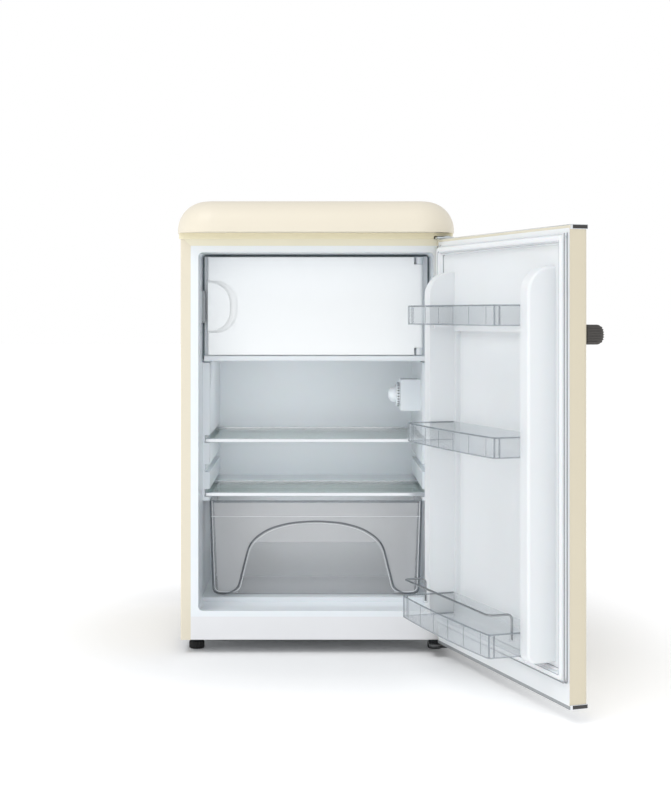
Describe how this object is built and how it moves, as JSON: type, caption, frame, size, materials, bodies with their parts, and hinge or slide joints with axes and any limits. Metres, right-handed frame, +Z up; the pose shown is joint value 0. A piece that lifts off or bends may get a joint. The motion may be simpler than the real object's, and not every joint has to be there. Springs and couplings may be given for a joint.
{
  "type": "mini fridge",
  "caption": "Under-counter retro fridge with a rounded hood, hinged door with clear bins, glass shelves, a crisper drawer and an icebox behind a flap.",
  "frame": {"origin": "on the floor under the centre of the steel cabinet's footprint, at the middle of the four feet's plane", "axes": "+Z up, +X to the right seen from the door side, -Y out of the opening towards the user"},
  "size_m": [0.7509, 1.0539, 0.895],
  "materials": {
    "cream_enamel": "gloss",
    "cream_moulding": "gloss",
    "white_moulding": "gloss",
    "clear_moulding": "clear",
    "smoked_moulding": "clear, frosted",
    "shelf_glass": "polished",
    "bright_trim": "polished",
    "zinc_steel": "zinc plated",
    "galvanised_steel": "galvanised",
    "dark_handle": "satin",
    "grey_cap": "satin",
    "dark_cap": "gloss",
    "grey_catch": "satin",
    "black_rubber": "matt",
    "white_seal": "satin",
    "foam_core": "foamed",
    "black_enamel": "satin",
    "copper_pipe": "drawn",
    "evaporator_alloy": "mill",
    "wire_steel": "polished",
    "frosted_cover": "frosted",
    "bulb_glass": "frosted",
    "black_plastic": "moulded"
  },
  "bodies": {
    "cabinet": {"side_panel_left": "cream_enamel", "side_panel_right": "cream_enamel", "top_rail": "cream_enamel", "kick_panel": "white_moulding", "inner_liner": "white_moulding", "cabinet_foam": "foam_core", "back_panel": "galvanised_steel", "base_plate": "galvanised_steel", "compressor_deck": "galvanised_steel", "top_lid": "cream_moulding", "lid_collar": "cream_moulding", "upper_hinge_plate": "zinc_steel", "lower_hinge_bracket": "zinc_steel", "hinge_pins": "zinc_steel", "hinge_screws": "zinc_steel", "icebox_shell": "white_moulding", "flap_pins": "white_moulding", "evaporator_plate": "evaporator_alloy", "icebox_catch": "grey_catch", "control_housing": "white_moulding", "thermostat_switch": "black_plastic", "lamp_cover": "frosted_cover", "lamp_bulb": "bulb_glass", "compressor": "black_enamel", "compressor_mounts": "black_rubber", "terminal_box": "black_plastic", "cord_gland": "black_rubber", "evaporation_tray": "black_plastic", "condenser_pipe": "black_enamel", "condenser_wires": "black_enamel", "condenser_clips": "black_plastic", "filter_drier": "copper_pipe", "refrigerant_pipes": "copper_pipe", "foot_nuts": "zinc_steel", "rear_feet": "black_rubber"},
    "door": {"door_skin": "cream_enamel", "door_foam": "foam_core", "door_liner": "white_moulding", "door_gasket": "white_seal", "door_top_cap": "dark_cap", "door_bottom_cap": "grey_cap", "hinge_bushes": "black_plastic", "handle_grip": "dark_handle", "handle_posts": "dark_handle", "handle_screws": "zinc_steel"},
    "top_bin": {"top_bin": "clear_moulding"},
    "middle_bin": {"middle_bin": "clear_moulding"},
    "bottom_bin": {"bottom_bin": "clear_moulding", "bottle_guard": "wire_steel"},
    "icebox_flap": {"flap_panel": "white_moulding", "flap_liner": "white_moulding", "flap_handle": "white_moulding"},
    "upper_shelf": {"upper_shelf_glass": "shelf_glass", "upper_shelf_trim": "bright_trim"},
    "lower_shelf": {"lower_shelf_glass": "shelf_glass", "lower_shelf_trim": "bright_trim"},
    "crisper": {"crisper_drawer": "smoked_moulding"},
    "thermostat_dial": {"thermostat_knob": "white_moulding"},
    "left_levelling_foot": {"foot_left": "black_rubber"},
    "right_levelling_foot": {"foot_right": "black_rubber"}
  },
  "joints": [
    {"name": "door_hinge", "type": "hinge", "parent": "cabinet", "child": "door", "pos_m": [0.257, -0.2775, 0.42], "axis": [0, 0, 1], "range_deg": [-109, 11]},
    {"name": "icebox_flap_hinge", "type": "hinge", "parent": "cabinet", "child": "icebox_flap", "pos_m": [0.212, -0.1425, 0.688], "axis": [0, 0, 1], "range_deg": [0, 70]},
    {"name": "crisper_slide", "type": "slide", "parent": "cabinet", "child": "crisper", "axis": [0, -1, 0], "range_m": [0, 0.18]},
    {"name": "upper_shelf_slide", "type": "slide", "parent": "cabinet", "child": "upper_shelf", "axis": [0, -1, 0], "range_m": [0, 0.17]},
    {"name": "lower_shelf_slide", "type": "slide", "parent": "cabinet", "child": "lower_shelf", "axis": [0, -1, 0], "range_m": [0, 0.17]},
    {"name": "top_bin_lift", "type": "slide", "parent": "door", "child": "top_bin", "axis": [0, 0, 1], "range_m": [0, 0.03]},
    {"name": "middle_bin_lift", "type": "slide", "parent": "door", "child": "middle_bin", "axis": [0, 0, 1], "range_m": [0, 0.03]},
    {"name": "bottom_bin_lift", "type": "slide", "parent": "door", "child": "bottom_bin", "axis": [0, 0, 1], "range_m": [0, 0.03]},
    {"name": "thermostat_turn", "type": "hinge", "parent": "cabinet", "child": "thermostat_dial", "pos_m": [0.17, -0.0245, 0.501], "axis": [1, 0, 0], "range_deg": [0, 270]},
    {"name": "left_foot_screw", "type": "hinge", "parent": "cabinet", "child": "left_levelling_foot", "pos_m": [-0.24, -0.1985, 0.02], "axis": [0, 0, 1], "range_deg": [-360, 720]},
    {"name": "right_foot_screw", "type": "hinge", "parent": "cabinet", "child": "right_levelling_foot", "pos_m": [0.24, -0.1985, 0.02], "axis": [0, 0, 1], "range_deg": [-360, 720]}
  ]
}
